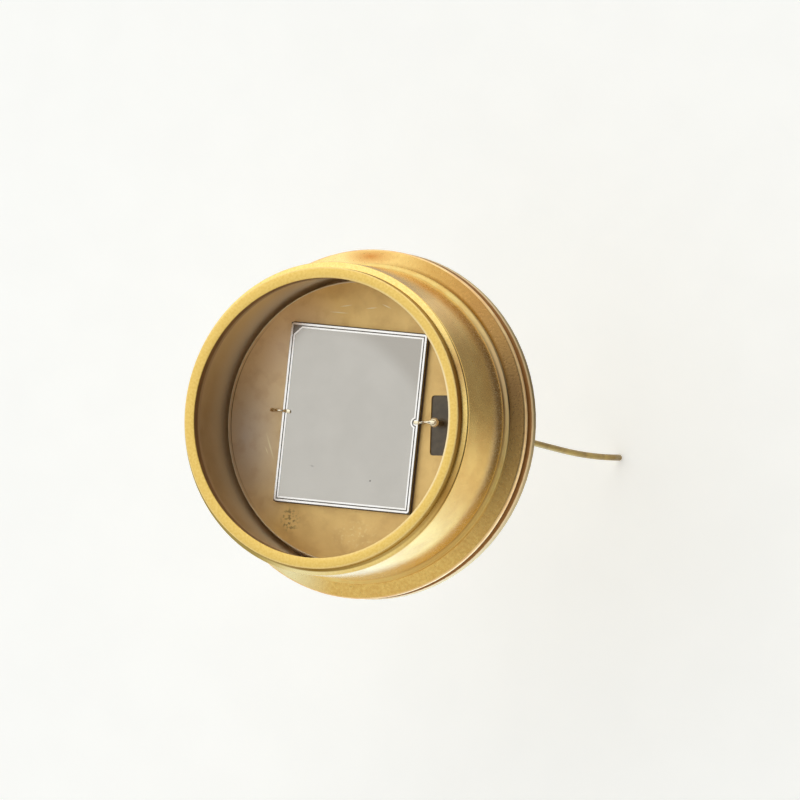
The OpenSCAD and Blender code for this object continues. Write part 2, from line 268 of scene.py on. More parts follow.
def zone(tree, value, low=None, high=None, blur=0.05):
    """Mask of what lies above low and below high, with soft edges of the given width inside them."""
    edges = [(edge, edge + way * blur) for edge, way in ((low, 1), (high, -1)) if edge is not None]
    masks = [add(tree, "MapRange", {
        "Value": value, "From Min": outer, "From Max": inner,
    }, interpolation_type="SMOOTHSTEP").outputs["Result"] for outer, inner in edges]
    return overlap(tree, *masks)


print("masks:", [helper.__name__ for helper in (overlap, spot, stretch, zone)])

# %% [markdown]
# ## Stains
# A stain is a colour mixed in where all its masks overlap. Whole stretches of the turned rings are tinted,
# most of them as painted light and shade, so a second function takes a list of them.

# %% Stain helpers
def stain(tree, tone, colour, *masks):
    """Mixes a colour into a tone where all the masks overlap."""
    share = overlap(tree, *masks)
    mixed = add(tree, "Mix", {"Factor": share, "A": tone, "B": linear(colour)}, data_type="RGBA")
    return next(output for output in mixed.outputs if output.enabled)


def tinted(tree, tone, place, ring, marks):
    """Tints stretches of a ring; each mark is an angle, a reach in millimetres and a colour."""
    for angle_deg, reach_mm, colour in marks:
        tone = stain(tree, tone, colour, stretch(tree, place, ring, angle_deg, reach_mm))
    return tone


print("stains:", [helper.__name__ for helper in (stain, tinted)])

# %% [markdown]
# ## Plain platings
# Some surfaces need no more than clouds and grain, and one function makes them whole. The flange's edge is
# painted pale and pinkish, a painted reflection of the pale floor. The weld between the flanges tarnished in
# the heat of welding and cooled too fast to take a polish. The drawn lead wires are a deeper, greener gold.

# %% Plain platings
def plating(name, bright, deep, cloud_mm, grain_mm, grain_um, gloss, metal=1.0):
    """A whole material: clouds of two tones under a satin grain."""
    material, tree, place = blank(name)
    tone = two_tone(tree, place, bright, deep, cloud_mm)
    satin(tree, place, tone, grain_mm, grain_um, gloss, metal)
    return material


# painted reflection: the edge's pale pinkish tone stands in for the floor it mirrors
edge_gold = plating(
    "gold plate, flange edge with painted reflection", "#ffdda0", "#f4c88a",
    cloud_mm=0.5, grain_mm=0.05, grain_um=2.0, gloss=(0.28, 0.42),
)
weld_tint = plating(
    "heat-tinted weld", "#be8c48", "#9c6c30",
    cloud_mm=0.4, grain_mm=0.05, grain_um=4.0, gloss=(0.4, 0.6),
)
lead_gold = plating(
    "gold plate, drawn lead wire", "#b89a4e", "#987a38",
    cloud_mm=0.6, grain_mm=0.05, grain_um=1.5, gloss=(0.28, 0.4),
)
print("platings:", [material.name for material in bpy.data.materials])

# %% [markdown]
# ## Rim
# The rim is the flat face of the lip. Its outer edge, and on the lead side its inner edge too, are painted a
# little paler than the satin between them, as painted highlights. The two pale lines could be separate
# rings, but they are only a change of tone, so they are zones of distance from the axis.

# %% Rim finish
OPENING_R = 5.57
LIP_R = 6.0
RIM_Z = cad_high.z / MM
INNER_HIGHLIGHT = 0.12
OUTER_HIGHLIGHT = 0.08

rim_gold, tree, place = blank("satin gold plate, rim")
radius = radius_of(tree, place)
tone = two_tone(tree, place, "#f5d47c", "#ebc76a", cloud_mm=0.1)
# painted highlights: a paler inner edge on the lead side and a slightly paler outer edge all round
highlight_side = stretch(tree, place, (OPENING_R, RIM_Z), -10, 9.0)
tone = stain(tree, tone, "#ffecbc", zone(tree, radius, high=OPENING_R + INNER_HIGHLIGHT, blur=0.08), highlight_side)
tone = stain(tree, tone, "#ffe6aa", zone(tree, radius, low=LIP_R - OUTER_HIGHLIGHT, blur=0.06), 0.35)
satin(tree, place, tone, grain_mm=0.06, grain_um=5.0, gloss=(0.32, 0.5))
print("rim is", round(LIP_R - OPENING_R, 2), "mm wide")

# %% [markdown]
# ## Lip step and shoulder
# Below the rim the lip steps down to a narrow sloping shoulder. The upright step is painted a darker gold,
# most of all on the lead side, as painted shade. The shoulder is the most worn edge of the can: there the
# gold has worn smooth, so it mirrors the sky more sharply than the rim does. Two stretches of it and the
# corner under the lip are painted browner, as painted shade, one stretch is painted paler, as a painted
# highlight, and the far side is painted olive, as painted shade.

# %% Step and shoulder finish
STEP_RING = (LIP_R, 5.2)
SHOULDER_RING = (LIP_R, 4.94)
SHADE_UNDER_LIP = 0.13

step_gold, tree, place = blank("gold plate, lip step in painted shade")
# painted shade: the step is a darker gold than the wall, darker still in two stretches
tone = two_tone(tree, place, "#ceaa54", "#c09a46", cloud_mm=0.6)
tone = tinted(tree, tone, place, STEP_RING, [(-80, 4.0, "#8a6420"), (-12, 5.5, "#7c4e12")])
satin(tree, place, tone, grain_mm=0.05, grain_um=2.0, gloss=(0.35, 0.5))

shoulder_gold, tree, place = blank("satin gold plate, rubbed shoulder")
tone = two_tone(tree, place, "#ffe290", "#f8d680", cloud_mm=0.1)
# painted shade in two browner stretches, and a painted highlight in the pale stretch on the lower side
tone = tinted(tree, tone, place, SHOULDER_RING, [
    (22, 3.4, "#b08440"), (-27, 1.6, "#c49c60"), (92, 2.2, "#fff0b4"),
])
# painted shade in the corner under the lip, mostly on the lower side
shade_under_lip = zone(tree, radius_of(tree, place), high=LIP_R + SHADE_UNDER_LIP, blur=0.06)
tone = stain(tree, tone, "#9a762e", shade_under_lip, stretch(tree, place, SHOULDER_RING, 85, 8.0))
# painted shade: the far side is painted olive
olive = stretch(tree, place, SHOULDER_RING, 145, 5.6)
tone = stain(tree, tone, "#b09a56", zone(tree, olive, low=0.03, blur=0.4))
satin(tree, place, tone, grain_mm=0.06, grain_um=2.5, gloss=(0.16, 0.26))
print("shoulder finish:", len(tree.nodes), "nodes")

# %% [markdown]
# ## Outside of the wall
# Drawing has left the wall smoother than the rim, so it mirrors the floor in soft stripes. Low down, beside
# the weld, the gold is painted paler, so that where the wall mirrors the flange it does not deepen its
# colour:
# a painted reflection. One side is painted a pale, dull yellow that scatters light, a painted highlight, so
# less of it reads as metal.

# %% Wall finish
WALL_R = 6.25
PALE_BELOW = 2.8
PALE_OVER = 0.9
PALE_SHARE = 0.75
HIGHLIGHT_METAL = 0.45

wall_gold, tree, place = blank("satin gold plate, drawn wall")
tone = two_tone(tree, place, "#efc874", "#e3b664", cloud_mm=1.2)
# painted reflection: paler gold low down, so the mirrored flange does not deepen its colour
painted_reflection_band = zone(tree, height_of(tree, place), high=PALE_BELOW, blur=PALE_OVER)
tone = stain(tree, tone, "#f8e4b6", painted_reflection_band, PALE_SHARE)
# painted highlight: a pale, duller patch on the lower side
highlight_patch = stretch(tree, place, (WALL_R, PALE_BELOW), 92, 4.0)
tone = stain(tree, tone, "#ffe7a4", highlight_patch)
metal = add(tree, "MapRange", {
    "Value": highlight_patch, "From Max": 0.5, "To Min": 1.0, "To Max": HIGHLIGHT_METAL,
}).outputs["Result"]
satin(tree, place, tone, grain_mm=0.07, grain_um=2.0, gloss=(0.17, 0.29), metal=metal)
print("wall pales below", PALE_BELOW, "mm")

# %% [markdown]
# ## Root ring
# Where the wall meets the flange, the press left a small raised ring with a hollow fillet above it. Its top
# is bright but matt, with one stretch painted deeper, as painted shade, and one painted pinker, as a painted
# highlight. The hollow is painted browner on the lower side, and the hollow and the outer side are painted
# dark brown on the lead side, all as painted shade.

# %% Root ring finish
ROOT_R = 6.41
ROOT_Z = 1.46
HOLLOW_FROM = 1.49
SIDE_BELOW = 1.445

root_ring = (ROOT_R, ROOT_Z)
root_gold, tree, place = blank("satin gold plate, root ring")
height = height_of(tree, place)
tone = two_tone(tree, place, "#ffe48e", "#fcd67c", cloud_mm=0.4)
# painted shade in the deeper stretch and a painted highlight in the pinker one
tone = tinted(tree, tone, place, root_ring, [(48, 5.5, "#eabe64"), (-25, 4.0, "#ffdca4")])
hollow = zone(tree, height, low=HOLLOW_FROM, blur=0.06)
outer_side = zone(tree, height, high=SIDE_BELOW, blur=0.03)
lead_side = stretch(tree, place, root_ring, -15, 4.5)
low_side = stretch(tree, place, root_ring, 25, 7.0)
# painted shade in the hollow and on the outer side
tone = stain(tree, tone, "#c4984a", hollow, low_side)
tone = stain(tree, tone, "#6a4a1e", hollow, lead_side)
tone = stain(tree, tone, "#4a3614", outer_side, lead_side)
satin(tree, place, tone, grain_mm=0.05, grain_um=2.0, gloss=(0.36, 0.5), metal=0.5)
print("root ring finish:", len(tree.nodes), "nodes")

# %% [markdown]
# ## Weld track
# The flange was clamped between two electrodes and welded by one pulse of current. That left its face
# rougher than the can and finely pitted, with orange-brown heat colours that come and go round the ring and
# one clear orange patch. Two stretches are painted browner and a line against the root ring is painted
# brown, as painted shade, and two stretches are painted paler, as painted highlights.

# %% Weld track finish
FACE_R = 6.7
FACE_Z = 1.2
ROOT_SHADE = 0.14
BURN_SIZE = (1.3, 0.4, 1.0)

face_ring = (FACE_R, FACE_Z)
track_gold, tree, place = blank("gold plate, weld track with heat colours and painted shade")
tone = two_tone(tree, place, "#f5cf77", "#e6bb66", cloud_mm=0.12)
heat = add(tree, "TexNoise", {"Vector": place, "Scale": per_mm(3.0), "Detail": 3.0}).outputs["Fac"]
tone = stain(tree, tone, "#d2964e", zone(tree, heat, low=0.52, blur=0.14), 0.15)
# painted shade in two browner stretches and painted highlights in two paler ones
tone = tinted(tree, tone, place, face_ring, [
    (-52, 5.0, "#b8863c"), (-20, 8.0, "#ab8656"), (-110, 4.2, "#f8dc94"), (111, 2.0, "#fff4bc"),
])
tone = stain(tree, tone, "#cc8c46", spot(tree, place, around(-97, *face_ring), BURN_SIZE))
# painted shade: a brown line against the root ring, on the lead side
root_shade = zone(tree, radius_of(tree, place), high=ROOT_R + ROOT_SHADE, blur=0.1)
tone = stain(tree, tone, "#8a5e20", root_shade, stretch(tree, place, face_ring, -50, 5.0))
pits = add(tree, "TexNoise", {"Vector": place, "Scale": per_mm(0.06), "Detail": 2.0}).outputs["Fac"]
tone = stain(tree, tone, "#7a5a2c", zone(tree, pits, low=0.6, blur=0.12), 0.35)
satin(tree, place, tone, grain_mm=0.08, grain_um=6.0, gloss=(0.24, 0.4))
print("weld track finish:", len(tree.nodes), "nodes")

# %% [markdown]
# ## Inside of the can
# The inner wall was never polished and looks dull, so only a little of its gold reads as metal. Near the
# opening it keeps a browner tone, apart from one lighter stretch, and low down it is painted a lighter gold,
# painted light against the shade deep in the can. The bore of the lip is the same plating, painted dark
# brown at its upper edge as painted shade under the rim.

# %% Inner wall finish
WELL_LIGHTER_BELOW = 3.6
WELL_LIGHTEST_BELOW = 1.8
BORE_SHADE_ABOVE = 5.14
BORE_OVER = 0.2
INNER_GLOSS = (0.5, 0.65)
INNER_METAL = 0.2

well_gold, tree, place = blank("gold plate, inside of the can")
tone = two_tone(tree, place, "#dcbe8e", "#ccab76", cloud_mm=1.5)
tone = tinted(tree, tone, place, (OPENING_R, WELL_LIGHTER_BELOW), [(222, 5.0, "#ffdf9e")])
# painted light: lighter gold low down, against the shade deep in the can
painted_light_low = zone(tree, height_of(tree, place), high=WELL_LIGHTER_BELOW, blur=WELL_LIGHTER_BELOW - WELL_LIGHTEST_BELOW)
tone = stain(tree, tone, "#fff0d0", painted_light_low)
satin(tree, place, tone, grain_mm=0.08, grain_um=2.0, gloss=INNER_GLOSS, metal=INNER_METAL)

bore_gold, tree, place = blank("gold plate, bore of the lip in painted shade")
# painted shade: the bore is dark brown at its upper edge and lighter below
tone = two_tone(tree, place, "#966b38", "#845c2e", cloud_mm=0.6)
lower = zone(tree, height_of(tree, place), high=BORE_SHADE_ABOVE, blur=BORE_OVER)
tone = stain(tree, tone, "#caa676", lower)
satin(tree, place, tone, grain_mm=0.05, grain_um=2.0, gloss=INNER_GLOSS, metal=INNER_METAL)
print("inner wall lightens over", round(WELL_LIGHTER_BELOW - WELL_LIGHTEST_BELOW, 2), "mm")

# %% [markdown]
# ## Turned pieces
# The can and the weld have the same section all round. A lathe could be faked with a modifier, but cutting
# the frame's own solid on a half plane and spinning that outline keeps the exact form and gives as many
# steps as a smooth highlight needs. Pressed edges are never sharp, so a fine bevel follows.

# %% Turning helpers
MERGE = 1e-7
STEPS = 256


def merged(node):
    """A copy of a node of the frame, with its loose triangles joined up."""
    bm = bmesh.new()
    bm.from_mesh(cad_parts[node].data)
    bmesh.ops.remove_doubles(bm, verts=bm.verts, dist=MERGE)
    return bm


def cut(bm, point, normal, **cleared):
    """Cuts a bmesh on a plane; clear_inner and clear_outer take away what lies beside it."""
    geom = bm.verts[:] + bm.edges[:] + bm.faces[:]
    bmesh.ops.bisect_plane(bm, geom=geom, dist=MERGE, plane_co=point, plane_no=normal, **cleared)


def turned(node):
    """The outline of a turned node on the half plane through +X, spun about the optical axis."""
    bm = merged(node)
    cut(bm, (0, 0, 0), (0, 1, 0), clear_inner=True, clear_outer=True)
    far_half = [v for v in bm.verts if v.co.x < 0]
    bmesh.ops.delete(bm, geom=far_half, context="VERTS")
    bmesh.ops.spin(
        bm, geom=bm.verts[:] + bm.edges[:], cent=(0, 0, 0), axis=axis,
        angle=math.tau, steps=STEPS, use_merge=True,
    )
    bmesh.ops.remove_doubles(bm, verts=bm.verts, dist=MERGE)
    bmesh.ops.recalc_face_normals(bm, faces=bm.faces)
    return bm


def soften(bm, edges, offset_mm, segments):
    """Rounds the given edges."""
    bmesh.ops.bevel(
        bm, geom=edges, offset=offset_mm * MM,
        affect="EDGES", segments=segments, profile=0.5, material=-1,
    )


print("turned pieces have", STEPS, "steps")

# %% [markdown]
# ## Pieces
# Each new mesh becomes an object that stands for a node of the frame and hides it. It is shaded smooth,
# apart from edges that turn sharply, and rides on the one body of the part.
# The floor and the cards need an object too, so that step is a function of its own.

# %% Piece helpers
SMOOTH_BELOW = math.radians(50)


def object_of(name, bm, materials):
    """Turns a bmesh into an object of the scene."""
    mesh = bpy.data.meshes.new(name)
    bm.to_mesh(mesh)
    bm.free()
    for material in materials:
        mesh.materials.append(material)
    made = bpy.data.objects.new(name, mesh)
    bpy.context.scene.collection.objects.link(made)
    return made


def piece(name, bm, materials, slot, *nodes):
    """Turns a bmesh into a smooth piece that stands for the given nodes."""
    for edge in bm.edges:
        edge.smooth = edge.smooth and edge.calc_face_angle(0.0) < SMOOTH_BELOW
    made = object_of(name, bm, materials)
    made.data.shade_smooth()
    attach(made, "root")
    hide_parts(*nodes)
    print(name, len(made.data.polygons), "faces")
    return made


print("edges stay sharp above", round(math.degrees(SMOOTH_BELOW)), "degrees")

# %% [markdown]
# ## Finishes of the can
# The finishes meet at the corners of the can's section. They could be blended by height in one large
# material, but each face knows its place and the way it faces, and that is enough to pick its finish.

# %% Finishes of the can
SKIN = 0.03
LEANING = 0.5
LIP_BASE_Z = 4.84
LIP_ROOT = 4.97
FILLET_Z = 1.62
GROUND_Z = 1.29


def can_finish(face):
    """The finish of one face of the can, from its place and the way it faces."""
    centre = face.calc_center_median() / MM
    reach = centre.xy.length
    outward = face.normal.xy.dot(centre.xy) / reach
    if centre.z > RIM_Z - SKIN:
        return rim_gold
    if outward < 0 and reach < WALL_R:
        return bore_gold if centre.z > LIP_BASE_Z else well_gold
    if centre.z > FILLET_Z and face.normal.z > LEANING:
        return shoulder_gold
    if centre.z > FILLET_Z:
        return step_gold if centre.z > LIP_ROOT else wall_gold
    if centre.z > GROUND_Z:
        return root_gold
    return edge_gold if outward > LEANING and reach > FACE_R else track_gold


golds = [
    rim_gold, wall_gold, track_gold, well_gold, bore_gold,
    step_gold, edge_gold, shoulder_gold, root_gold,
]
print("the can has", len(golds), "finishes")

# %% [markdown]
# ## Can
# The root ring's outer edge was pressed rounder than the others, so it gets a wider bevel first, and every
# other corner a fine one. The shoulder is so narrow that smooth shading would bend all of it, so its edges
# are kept sharp.

# %% Can
CAN_EDGE = 0.025
ROOT_ROUND = 0.06
CORNER = math.radians(30)
FLAT = math.cos(math.radians(15))


def on_root_edge(vertex):
    """Whether a vertex lies on the root ring's outer edge."""
    return abs(vertex.co.z - ROOT_Z * MM) < MERGE and vertex.co.xy.length > (ROOT_R - SKIN) * MM


def on_shoulder(face):
    """Whether a face is part of the shoulder, apart from its bevels."""
    return golds[face.material_index] is shoulder_gold and face.normal.z > FLAT


can = turned("can")
root_edge = [edge for edge in can.edges if all(on_root_edge(v) for v in edge.verts)]
soften(can, root_edge, ROOT_ROUND, segments=4)
corners = [edge for edge in can.edges if edge.is_manifold and edge.calc_face_angle() > CORNER]
soften(can, corners, CAN_EDGE, segments=3)
for face in can.faces:
    face.material_index = golds.index(can_finish(face))
for edge in can.edges:
    sides = [on_shoulder(face) for face in edge.link_faces]
    edge.smooth = all(sides) or not any(sides)
piece("turned_can", can, golds, "can_gold", "can")

# %% [markdown]
# ## Weld
# Between the two flanges lies the ring of metal that melted when they were welded. Its edges are already
# round in the frame, so it is only spun with more steps and takes the heat tint.

# %% Weld ring
piece("weld_bead", turned("weld_ring"), [weld_tint], "weld_tint", "weld_ring")

# %% [markdown]
# ## Header tones
# The header is a stamped base whose raised platform carries the die. Its plating is browner than the can's,
# because it went through the heat of glassing and die bonding, and it is mottled all over. On one side of
# the platform a greyish veil is painted, with a lighter patch beside it, both painted light.

# %% Header tones
PLATFORM_Z = 2.08
PLATFORM_R = 5.67
PAINTED_VEIL_CENTRE = (-4.9, -0.6, PLATFORM_Z)
PAINTED_VEIL_SIZE = (2.7, 4.6, 1.0)
PAINTED_LIGHT_CENTRE = around(215, 4.6, PLATFORM_Z)
PAINTED_LIGHT_SIZE = (3.0, 3.0, 1.0)
MOTTLE_SHARE = 0.22

header_gold, tree, place = blank("gold plate, stamped header")
tone = two_tone(tree, place, "#f5d38a", "#e8c47e", cloud_mm=1.3)
# painted light: a greyish veil and a lighter patch on one side of the platform
tone = stain(tree, tone, "#e0d2be", spot(tree, place, PAINTED_VEIL_CENTRE, PAINTED_VEIL_SIZE))
tone = stain(tree, tone, "#f4dcb8", spot(tree, place, PAINTED_LIGHT_CENTRE, PAINTED_LIGHT_SIZE))
mottle = add(tree, "TexNoise", {"Vector": place, "Scale": per_mm(0.7), "Detail": 5.0}).outputs["Fac"]
tone = stain(tree, tone, "#ba8a54", zone(tree, mottle, low=0.46, blur=0.24), MOTTLE_SHARE)
print("header tones:", len(tree.nodes), "nodes")

# %% [markdown]
# ## Marks on the platform
# The platform has been handled: it shows a cluster of dark specks, a patch of bright grains, a few light
# scratches and, on the far side, a faint line inside its rounded edge. A scratch is a very narrow spot, so
# its two ends and half its width are all it needs.

# %% Platform marks
SPECKS_CENTRE = (-2.75, -3.90, PLATFORM_Z)
SPECKS_SIZE = (0.5, 0.6, 1.0)
SPARKS_CENTRE = (0.14, -4.49, PLATFORM_Z)
SPARKS_SIZE = (1.2, 0.7, 1.0)
SCRATCHES = [
    ((-3.95, -0.40), (-3.54, -1.60), 0.05),
    ((-3.98, -0.95), (-3.80, -1.35), 0.03),
    ((-1.35, 4.42), (-0.45, 4.36), 0.03),
    ((-0.90, 4.62), (-0.30, 4.70), 0.03),
    ((0.25, 4.55), (0.80, 4.60), 0.03),
    ((0.95, 4.75), (1.42, 4.55), 0.03),
]
RING_R = 5.51
RING_HALF = 0.03

height = height_of(tree, place)
radius = radius_of(tree, place)
grains = add(tree, "TexNoise", {"Vector": place, "Scale": per_mm(0.13), "Detail": 2.0}).outputs["Fac"]
specks = zone(tree, spot(tree, place, SPECKS_CENTRE, SPECKS_SIZE), low=0.0, blur=0.5)
tone = stain(tree, tone, "#705a34", zone(tree, grains, low=0.46, blur=0.2), specks, 0.65)
sparks = spot(tree, place, SPARKS_CENTRE, SPARKS_SIZE)
tone = stain(tree, tone, "#ffe9a8", zone(tree, grains, low=0.52, blur=0.16), sparks, 0.8)
for start, end, half_width in SCRATCHES:
    run = Vector(end) - Vector(start)
    middle = (*(Vector(start) + run / 2), PLATFORM_Z)
    turn = math.degrees(math.atan2(run.y, run.x))
    scratch = spot(tree, place, middle, (run.length / 2, half_width, 1.0), turn)
    tone = stain(tree, tone, "#fff2cc", scratch)
ring_line = zone(tree, radius, low=RING_R - RING_HALF, high=RING_R + RING_HALF, blur=0.02)
on_top = zone(tree, height, low=PLATFORM_Z - 0.1)
far_side = stretch(tree, place, (PLATFORM_R, PLATFORM_Z), 178, 4.5)
tone = stain(tree, tone, "#8c7656", ring_line, on_top, far_side)
print("platform marks:", len(SCRATCHES), "scratches")

# %% [markdown]
# ## Header edges
# The platform's edge is painted pale, a painted highlight. Between the platform and the can lies a narrow
# groove, dull, where light is scattered more than mirrored, and painted pale as painted light against its
# shade. Outside the can only the flange's rounded edge is seen: painted olive below on the lead side, as
# painted shade, with a pale band above that, a painted highlight, and brown above that, towards the weld.
# The node keeps the frame's own mesh, because its shape is right, and all of this is drawn by height and by
# distance from the axis.

# %% Header finish
PALE_EDGE = 0.08
EDGE_DROP = 0.06
GROOVE_INNER = 5.57
GROOVE_OUTER = 6.2
FLANGE_R = 6.15
HIGHLIGHT_Z = 0.29
HIGHLIGHT_BLUR = 0.03
TINT_Z = 0.44
HEADER_METAL = 0.65
GROOVE_METAL = 0.1


def dress(node, material):
    """Gives a node of the frame its finish."""
    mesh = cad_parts[node].data
    mesh.materials.clear()
    mesh.materials.append(material)
    print(node, "is", material.name)


flange = overlap(tree, zone(tree, radius, low=FLANGE_R), zone(tree, height, low=0.0))
groove = zone(tree, radius, low=GROOVE_INNER, high=GROOVE_OUTER, blur=0.03)
dull = overlap(tree, groove, zone(tree, height, low=0.2, blur=0.2))
# painted highlight on the platform's edge, and painted light in the shaded groove below it
tone = stain(tree, tone, "#fff4dc", dull, zone(tree, radius, low=PLATFORM_R - PALE_EDGE, blur=0.03))
tone = stain(tree, tone, "#ffe9cc", dull, zone(tree, height, high=PLATFORM_Z - EDGE_DROP, blur=0.04))
tone = stain(tree, tone, "#eed49c", flange)
# painted shade: olive on the flange edge, on the lead side
tone = stain(tree, tone, "#7e6636", flange, stretch(tree, place, (FLANGE_R, HIGHLIGHT_Z), -20, 7.0))
# painted highlight: a pale band on the flange edge
edge_highlight = zone(tree, height, low=HIGHLIGHT_Z - HIGHLIGHT_BLUR, blur=HIGHLIGHT_BLUR)
tone = stain(tree, tone, "#f0d09a", flange, edge_highlight)
tone = stain(tree, tone, "#9c6a34", flange, zone(tree, height, low=TINT_Z, blur=0.02))
metal = add(tree, "MapRange", {
    "Value": dull, "To Min": HEADER_METAL, "To Max": GROOVE_METAL,
}).outputs["Result"]
satin(tree, place, tone, grain_mm=0.08, grain_um=2.5, gloss=(0.38, 0.54), metal=metal)
dress("header", header_gold)

# %% [markdown]
# ## Active area
# The die is polished silicon under a thin clear film, and it reflects like a grey mirror. Outside the active
# area the film is thicker, so the border between the bright tracks looks dark. The border could be its own
# mesh, but it is only a change of colour on one flat face, so it is drawn in the die's own frame: the
# Mapping node puts the origin at the die's centre, turned by its skew, and the rest is plain distances in
# millimetres. A point lies outside by the largest of them.

# %% Active area
DIE_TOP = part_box("die")[1].z / MM
DIE_CENTRE = (-0.15, 0.18, DIE_TOP)
DIE_SKEW = -4.5
DIE_HALF = (3.0, 3.585)
ACTIVE_INSET = 0.17
CORNER_CUT = 0.34
CORNER_WAY = (-1.0, 1.0, 0.0)
PAD_CENTRE = (2.89, 0.05, 0.0)
PAD_CLEAR = 0.19

silicon, tree, place = blank("polished silicon")
on_die = add(tree, "Mapping", {
    "Vector": place, "Location": MM * Vector(DIE_CENTRE), "Scale": (MM, MM, MM),
    "Rotation": (0, 0, math.radians(DIE_SKEW)),
}, vector_type="TEXTURE").outputs["Vector"]
across = add(tree, "SeparateXYZ", {"Vector": on_die})
past = []
for side, half in zip("XY", DIE_HALF):
    size = add(tree, "Math", {0: across.outputs[side]}, operation="ABSOLUTE").outputs["Value"]
    past.append(add(tree, "Math", {0: size, 1: half - ACTIVE_INSET}, operation="SUBTRACT"))
diagonal = add(tree, "VectorMath", {0: on_die, 1: CORNER_WAY}, operation="DOT_PRODUCT").outputs["Value"]
corner = sum(DIE_HALF) - 2 * ACTIVE_INSET - CORNER_CUT
past.append(add(tree, "Math", {0: diagonal, 1: corner}, operation="SUBTRACT"))
from_pad = add(tree, "VectorMath", {0: on_die, 1: PAD_CENTRE}, operation="DISTANCE").outputs["Value"]
past.append(add(tree, "Math", {0: PAD_CLEAR, 1: from_pad}, operation="SUBTRACT"))
outside = past[0]
for further in past[1:]:
    both = {0: outside.outputs["Value"], 1: further.outputs["Value"]}
    outside = add(tree, "Math", both, operation="MAXIMUM")
print("active area:", len(past), "outlines")

# %% [markdown]
# ## Die
# Beyond a wide arc towards one corner the grey is painted deeper, a painted soft shadow of the lip, and the
# face carries two tiny marks. At the cut-off corner the border is wide enough to show its own grey. The four
# sides were cut by a saw and are dark and dull.

# %% Die finish
EDGE_BLUR = 0.01
LIP_SHADOW_CENTRE = (-1.97, -1.77, DIE_TOP)
LIP_SHADOW_REACH = 5.2
LIP_SHADOW_BLUR = 0.8
NICK_CENTRE = (-1.76, -1.76, DIE_TOP)
NICK_SIZE = (0.1, 0.02, 1.0)
NICK_TURN = -8
PIT_CENTRE = (0.81, -2.33, DIE_TOP)
PIT_SIZE = (0.05, 0.05, 1.0)
WIDE_CENTRE = (-2.63, 3.72, DIE_TOP)
WIDE_SIZE = (0.3, 0.3, 1.0)

tone = two_tone(tree, place, "#c5c2ba", "#c1beb6", cloud_mm=1.5)
in_mm = add(tree, "VectorMath", {0: place, "Scale": 1 / MM}, operation="SCALE").outputs["Vector"]
# painted shadow: the lip's soft shadow deepens the grey beyond a wide arc
from_lip_shadow = add(tree, "VectorMath", {0: in_mm, 1: LIP_SHADOW_CENTRE}, operation="DISTANCE").outputs["Value"]
tone = stain(tree, tone, "#b4b0a7", zone(tree, from_lip_shadow, low=LIP_SHADOW_REACH, blur=LIP_SHADOW_BLUR))
tone = stain(tree, tone, "#77736b", spot(tree, place, NICK_CENTRE, NICK_SIZE, NICK_TURN))
tone = stain(tree, tone, "#4c4943", spot(tree, place, PIT_CENTRE, PIT_SIZE))
border = zone(tree, outside.outputs["Value"], low=0.0, blur=EDGE_BLUR)
tone = stain(tree, tone, "#5a554d", border)
wide_corner = zone(tree, spot(tree, place, WIDE_CENTRE, WIDE_SIZE), low=0.0, blur=0.4)
tone = stain(tree, tone, "#8f8b84", border, wide_corner)
sawn = zone(tree, across.outputs["Z"], high=-EDGE_BLUR, blur=EDGE_BLUR)
tone = stain(tree, tone, "#8b8378", sawn)
satin(tree, place, tone, grain_mm=0.3, grain_um=0.02, gloss=(0.15, 0.19), metal=0.9)
dress("die", silicon)

# %% [markdown]
# ## Films and bonds
# Two aluminium tracks run round the die, only a micrometre thick on the real one, and look nearly white.
# They stay the frame's own solids, because a flat film has no edge worth rounding, and so do the dull bond
# under the die and the silvery braze round the case lead.

# %% Film and bond finishes
film = plating(
    "aluminium film", "#fffefb", "#f8f5ee",
    cloud_mm=0.5, grain_mm=0.04, grain_um=0.1, gloss=(0.18, 0.28),
)
bond = plating(
    "conductive die bond", "#8a7c66", "#6e6250",
    cloud_mm=0.3, grain_mm=0.05, grain_um=3.0, gloss=(0.5, 0.7), metal=0.5,
)
braze_metal = plating(
    "silver braze", "#d2cbb8", "#b7ae98",
    cloud_mm=0.3, grain_mm=0.06, grain_um=3.0, gloss=(0.3, 0.45),
)
dress("outer_track", film)
dress("inner_track", film)
dress("die_attach", bond)
dress("case_lead_braze", braze_metal)

# %% [markdown]
# ## Sealing glass
# The slot is filled with a dark sealing glass that holds and insulates the signal lead. It is opaque at this
# thickness, with a fire-polished face and faint clouds of fine bubbles.

# %% Sealing glass
sealing_glass, tree, place = blank("dark sealing glass")
tone = two_tone(tree, place, "#665c48", "#584f3e", cloud_mm=0.3)
shader = add(tree, "BsdfPrincipled", {"Base Color": tone, "Roughness": 0.22, "IOR": 1.5})
add(tree, "OutputMaterial", {"Surface": shader.outputs["BSDF"]})
dress("glass_seal", sealing_glass)

# %% [markdown]
# ## Bond wires
# The bond wires are bright drawn gold, so thin that they mostly mirror the pale sky. They come from the
# frame with flat facets. A curve object could replace them, but then their place would be stated twice.
# Instead each is merged and subdivided once, so that a highlight runs along it in one line.

# %% Bond wires
FACET_BEND = math.radians(40)
FACET_SKEW = math.radians(60)


def smooth_wire(name, node, material, slot):
    """A merged copy of a faceted wire, rounded by one level of subdivision."""
    bm = merged(node)
    bmesh.ops.join_triangles(
        bm, faces=bm.faces, angle_face_threshold=FACET_BEND, angle_shape_threshold=FACET_SKEW,
    )
    made = piece(name, bm, [material], slot, node)
    rounder = made.modifiers.new("rounder", "SUBSURF")
    rounder.levels = rounder.render_levels = 1


wire_gold = plating(
    "bond wire gold", "#fdf4dc", "#f2e4c0",
    cloud_mm=0.2, grain_mm=0.03, grain_um=0.2, gloss=(0.1, 0.16),
)
smooth_wire("signal_bond_wire", "signal_wire", wire_gold, "bond_gold")
smooth_wire("case_bond_wire", "case_wire", wire_gold, "bond_gold")

